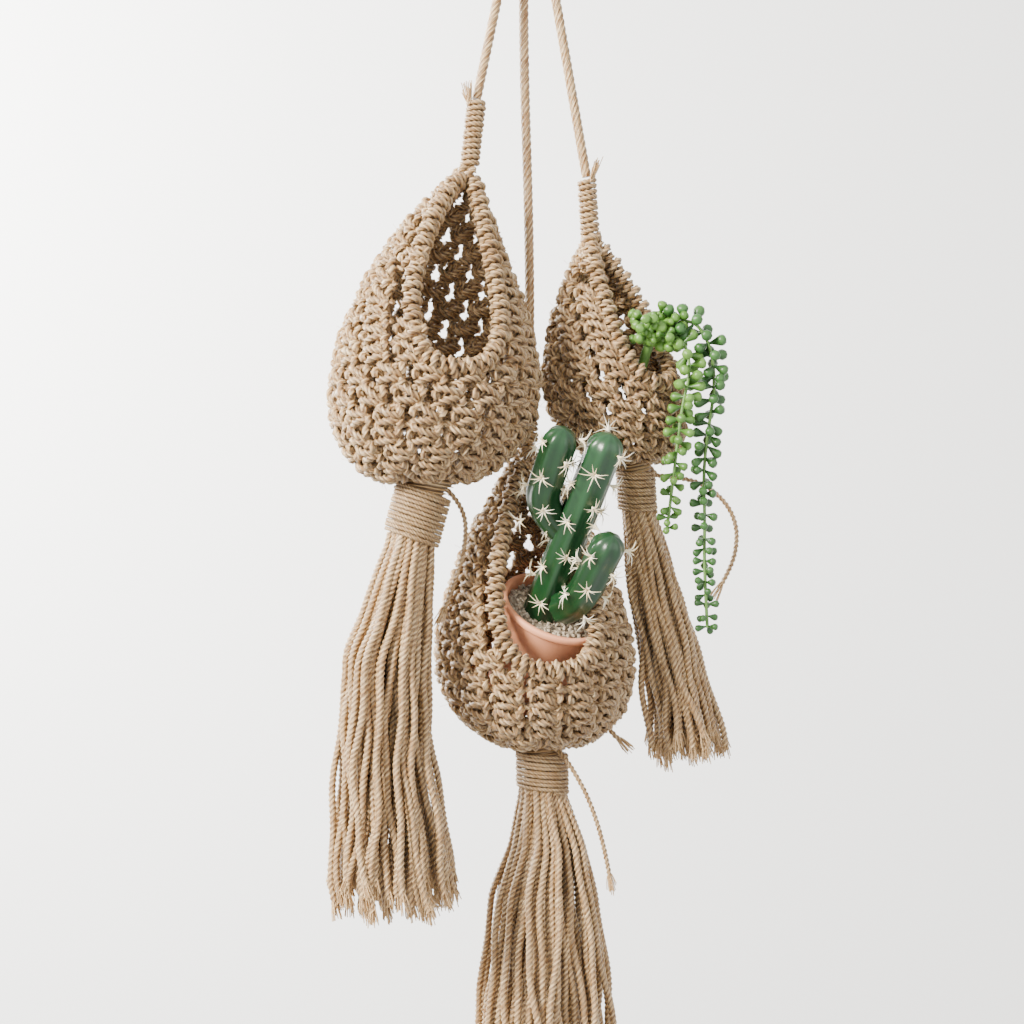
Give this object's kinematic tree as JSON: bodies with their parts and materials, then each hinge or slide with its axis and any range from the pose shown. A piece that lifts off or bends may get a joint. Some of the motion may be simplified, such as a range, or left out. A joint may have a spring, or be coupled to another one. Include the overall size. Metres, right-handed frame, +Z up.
{
  "type": "hanging macrame planter",
  "caption": "Knotted jute planter of tasselled, teardrop-shaped open net pods hung on cords from one loop, holding a potted cactus and a trailing succulent.",
  "frame": {"origin": "top of the inside of the hanging loop, where the hook bears", "axes": "+Z up; +X to the right and +Y to the back, seen from the front where the pods' mouths open"},
  "size_m": [0.251, 0.1729, 0.858],
  "materials": {
    "jute": "laid jute cord, slightly glossy",
    "terracotta": null,
    "grit": "loose gravelly potting grit",
    "cactus_skin": "waxy ribbed skin",
    "spine": "dry spines",
    "stem": "fleshy stem",
    "leaf": "fleshy glossy leaf"
  },
  "bodies": {
    "hanger": {"hanging_loop": "jute", "gathering_wrap": "jute"},
    "left_line": {"left_hanging_cord": "jute"},
    "left_pod": {"left_net": "jute", "left_mouth_rim": "jute", "left_top_wrap": "jute", "left_neck": "jute", "left_neck_wrap": "jute", "left_wrap_tail": "jute"},
    "left_tassel": {"left_tassel": "jute"},
    "right_line": {"right_hanging_cord": "jute"},
    "right_pod": {"right_net": "jute", "right_mouth_rim": "jute", "right_top_wrap": "jute", "right_neck": "jute", "right_neck_wrap": "jute", "right_wrap_tail": "jute"},
    "right_tassel": {"right_tassel": "jute"},
    "lower_line": {"lower_hanging_cord": "jute"},
    "lower_pod": {"lower_net": "jute", "lower_mouth_rim": "jute", "lower_top_wrap": "jute", "lower_neck": "jute", "lower_neck_wrap": "jute", "lower_wrap_tail": "jute", "flower_pot": "terracotta", "potting_grit": "grit", "cactus_column": "cactus_skin", "cactus_left_arm": "cactus_skin", "cactus_right_arm": "cactus_skin", "cactus_spines": "spine"},
    "lower_tassel": {"lower_tassel": "jute"},
    "trailing_plant": {"plant_stalk": "stem", "plant_crown": "leaf", "short_trail": "stem", "short_trail_leaves": "leaf", "long_trail": "stem", "long_trail_leaves": "leaf"}
  },
  "joints": [
    {"name": "left_swing", "type": "hinge", "parent": "hanger", "child": "left_line", "pos_m": [-0.0039, -0.0022, -0.0772], "axis": [0, 1, 0], "range_deg": [0, 25]},
    {"name": "right_swing", "type": "hinge", "parent": "hanger", "child": "right_line", "pos_m": [0.0039, -0.0022, -0.0772], "axis": [0, -1, 0], "range_deg": [0, 25]},
    {"name": "lower_swing", "type": "hinge", "parent": "hanger", "child": "lower_line", "pos_m": [0, 0.0044, -0.0768], "axis": [1, 0, 0], "range_deg": [0, 2]},
    {"name": "left_turn", "type": "hinge", "parent": "left_line", "child": "left_pod", "pos_m": [-0.0312, -0.0136, -0.212], "axis": [0.1126, 0.0643, 0.9916], "range_deg": [-12, 12], "stiffness_Nm_per_rad": 0.05},
    {"name": "right_turn", "type": "hinge", "parent": "right_line", "child": "right_pod", "pos_m": [0.0352, 0.0062, -0.255], "axis": [-0.0627, -0.0564, 0.9964], "range_deg": [-25, 0], "stiffness_Nm_per_rad": 0.03},
    {"name": "lower_turn", "type": "hinge", "parent": "lower_line", "child": "lower_pod", "pos_m": [-0.0002, 0.0162, -0.381], "axis": [-0.0152, -0.0242, 0.9996], "range_deg": [-8, 8], "stiffness_Nm_per_rad": 0.1},
    {"name": "left_sway", "type": "hinge", "parent": "left_pod", "child": "left_tassel", "pos_m": [-0.069, -0.033, -0.472], "axis": [0, 1, 0], "range_deg": [0, 15]},
    {"name": "right_sway", "type": "hinge", "parent": "right_pod", "child": "right_tassel", "pos_m": [0.0672, 0.026, -0.456], "axis": [0, -1, 0], "range_deg": [0, 15]},
    {"name": "lower_sway", "type": "hinge", "parent": "lower_pod", "child": "lower_tassel", "pos_m": [0.0087, 0.0225, -0.627], "axis": [1, 0, 0], "range_deg": [-12, 12]},
    {"name": "plant_lift", "type": "slide", "parent": "right_pod", "child": "trailing_plant", "axis": [0.2998, -0.3498, 0.8875], "range_m": [0, 0.08]}
  ]
}
